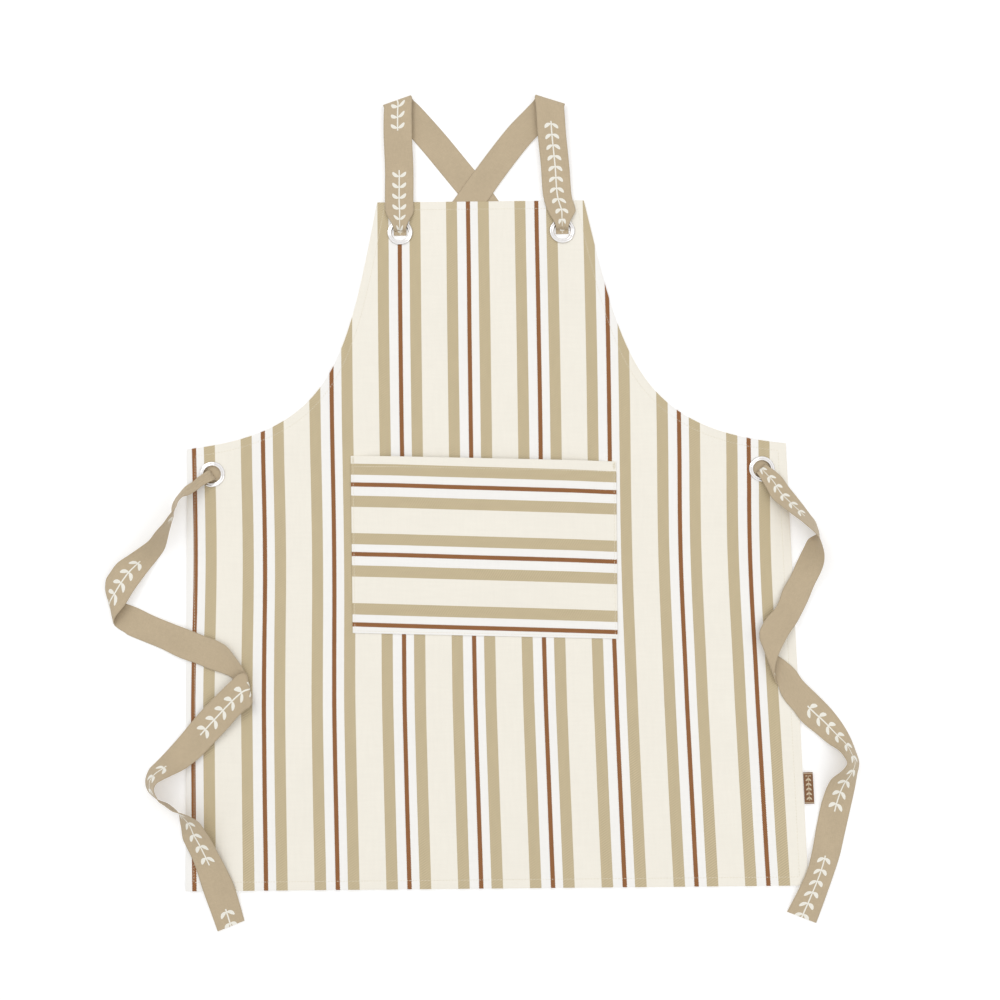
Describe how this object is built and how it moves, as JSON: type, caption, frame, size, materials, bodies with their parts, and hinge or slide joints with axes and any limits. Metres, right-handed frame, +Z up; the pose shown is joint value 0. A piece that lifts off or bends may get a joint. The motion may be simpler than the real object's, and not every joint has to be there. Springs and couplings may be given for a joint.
{
  "type": "apron",
  "caption": "Striped cotton kitchen apron with crossed tape straps, eyelets, hip pocket and waist ties, laid flat",
  "frame": {"origin": "the middle of the bottom hem, on its underside", "axes": "+Y from the bottom hem to the bib, +Z up out of the front cloth, +X to the viewer's right looking down at the front"},
  "size_m": [0.8587, 0.9816, 0.0332],
  "materials": {
    "striped_cotton": "woven cotton with taupe bands and thin brown lines",
    "cotton_tape": "taupe woven tape with a cream print on its face",
    "thread": "cotton sewing thread",
    "nickel": "polished nickel-plated eyelets",
    "woven_label": "brown woven label"
  },
  "bodies": {
    "apron": {"apron_panel": "striped_cotton", "pocket": "striped_cotton", "pocket_stitching": "thread", "bottom_hem": "striped_cotton", "bib_top_hem": "striped_cotton", "bottom_hem_stitching": "thread", "bib_top_hem_stitching": "thread", "left_side_hem": "striped_cotton", "left_side_hem_stitching": "thread", "left_arm_hem": "striped_cotton", "left_arm_hem_stitching": "thread", "right_side_hem": "striped_cotton", "right_side_hem_stitching": "thread", "right_arm_hem": "striped_cotton", "right_arm_hem_stitching": "thread", "eyelet_bib_left": "nickel", "washer_bib_left": "nickel", "eyelet_bib_right": "nickel", "washer_bib_right": "nickel", "eyelet_side_left": "nickel", "washer_side_left": "nickel", "eyelet_side_right": "nickel", "washer_side_right": "nickel", "left_strap_front": "cotton_tape", "left_strap_sewn_end": "cotton_tape", "right_strap_front": "cotton_tape", "right_strap_sewn_end": "cotton_tape", "back_strap_from_left": "cotton_tape", "back_strap_from_right": "cotton_tape"},
    "shoulder_straps": {"left_shoulder_strap": "cotton_tape", "right_shoulder_strap": "cotton_tape"},
    "left_tie": {"left_tie_1": "cotton_tape", "left_tie_2": "cotton_tape", "left_tie_3": "cotton_tape", "left_tie_4": "cotton_tape", "left_tie_5": "cotton_tape", "left_tie_6": "cotton_tape", "left_tie_7": "cotton_tape"},
    "right_tie": {"right_tie_1": "cotton_tape", "right_tie_2": "cotton_tape", "right_tie_3": "cotton_tape", "right_tie_4": "cotton_tape", "right_tie_5": "cotton_tape", "right_tie_6": "cotton_tape"},
    "side_label": {"side_label": "woven_label"}
  },
  "joints": [
    {"name": "straps_lift", "type": "hinge", "parent": "apron", "child": "shoulder_straps", "pos_m": [0, 0.7965, 0.005], "axis": [1, 0, 0], "range_deg": [0, 160]},
    {"name": "left_tie_swing", "type": "hinge", "parent": "apron", "child": "left_tie", "pos_m": [-0.3205, 0.4726, 0.0025], "axis": [0, 0, 1], "range_deg": [-75, 0]},
    {"name": "right_tie_swing", "type": "hinge", "parent": "apron", "child": "right_tie", "pos_m": [0.3205, 0.463, 0.0025], "axis": [0, 0, 1], "range_deg": [0, 75]},
    {"name": "label_flip", "type": "hinge", "parent": "apron", "child": "side_label", "pos_m": [0.3504, 0.0967, 0.0037], "axis": [0, -1, 0], "range_deg": [0, 170]}
  ]
}
